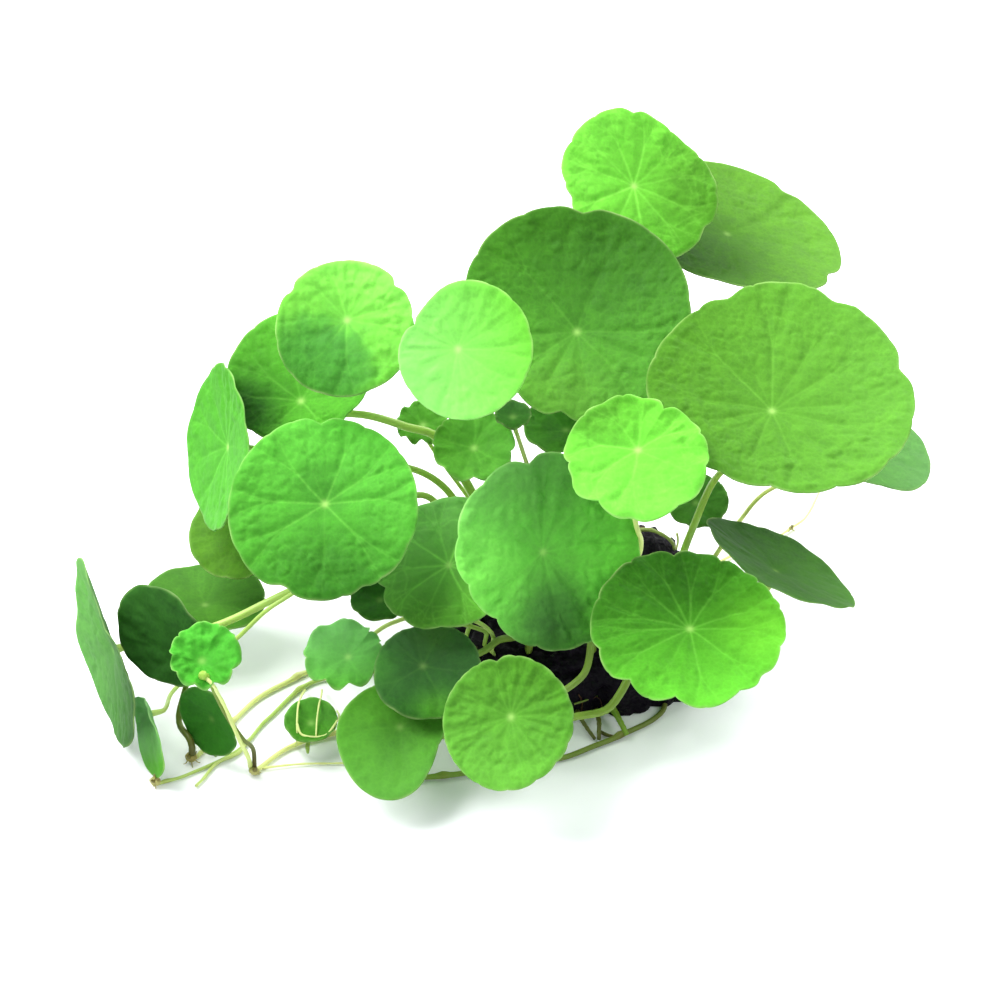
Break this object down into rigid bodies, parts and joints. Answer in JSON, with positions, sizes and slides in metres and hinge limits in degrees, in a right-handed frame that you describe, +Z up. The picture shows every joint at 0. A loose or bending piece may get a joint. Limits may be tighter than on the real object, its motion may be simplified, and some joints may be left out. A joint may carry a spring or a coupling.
{
  "type": "whorled pennywort",
  "caption": "A clump of whorled pennywort: round scalloped leaves held up on slender stalks from a plug of wet soil, with runners trailing along the ground to one side.",
  "frame": {"origin": "middle of the soil plug's flat underside, on the surface that the plant rests on", "axes": "+Z up; +X to the right of the picture, along the longest extent and away from the trailing runners; +Y away from the viewer"},
  "size_m": [0.1739, 0.1347, 0.0999],
  "materials": {
    "wet_soil": "matte",
    "yellow_green_blade": "satin",
    "fresh_green_blade": "satin",
    "mid_green_blade": "satin",
    "deep_green_blade": "satin",
    "dark_green_blade": "satin",
    "grey_green_blade": "satin",
    "leaf_stalk": "satin",
    "runner_stem": "satin"
  },
  "bodies": {
    "root": {"soil_clump": "wet_soil", "leaf_01": "fresh_green_blade", "leaf_02": "mid_green_blade", "leaf_03": "deep_green_blade", "leaf_04": "mid_green_blade", "leaf_05": "mid_green_blade", "leaf_06": "yellow_green_blade", "leaf_07": "fresh_green_blade", "leaf_08": "yellow_green_blade", "leaf_09": "mid_green_blade", "leaf_10": "fresh_green_blade", "leaf_11": "fresh_green_blade", "leaf_12": "mid_green_blade", "leaf_13": "mid_green_blade", "leaf_14": "dark_green_blade", "young_leaf_15": "fresh_green_blade", "young_leaf_16": "dark_green_blade", "leaf_17": "grey_green_blade", "young_leaf_18": "grey_green_blade", "young_leaf_19": "grey_green_blade", "young_leaf_20": "deep_green_blade", "leaf_21": "dark_green_blade", "leaf_22": "mid_green_blade", "leaf_23": "mid_green_blade", "leaf_24": "fresh_green_blade", "leaf_25": "deep_green_blade", "leaf_26": "deep_green_blade", "young_leaf_27": "dark_green_blade", "young_leaf_28": "deep_green_blade", "young_leaf_29": "mid_green_blade", "young_leaf_30": "dark_green_blade", "young_leaf_31": "dark_green_blade", "young_leaf_32": "deep_green_blade", "leaf_33": "dark_green_blade", "stalk_01": "leaf_stalk", "stalk_02": "leaf_stalk", "stalk_03": "leaf_stalk", "stalk_04": "leaf_stalk", "stalk_05": "leaf_stalk", "stalk_06": "leaf_stalk", "stalk_07": "leaf_stalk", "stalk_08": "leaf_stalk", "stalk_09": "leaf_stalk", "stalk_10": "leaf_stalk", "stalk_11": "leaf_stalk", "stalk_12": "leaf_stalk", "stalk_13": "leaf_stalk", "stalk_14": "leaf_stalk", "stalk_17": "leaf_stalk", "stalk_21": "leaf_stalk", "stalk_22": "leaf_stalk", "stalk_23": "leaf_stalk", "stalk_24": "leaf_stalk", "stalk_25": "leaf_stalk", "stalk_26": "leaf_stalk", "stalk_33": "leaf_stalk", "runner_left": "runner_stem", "runner_back_left": "runner_stem", "runner_middle": "runner_stem", "runner_front": "runner_stem"}
  },
  "joints": []
}
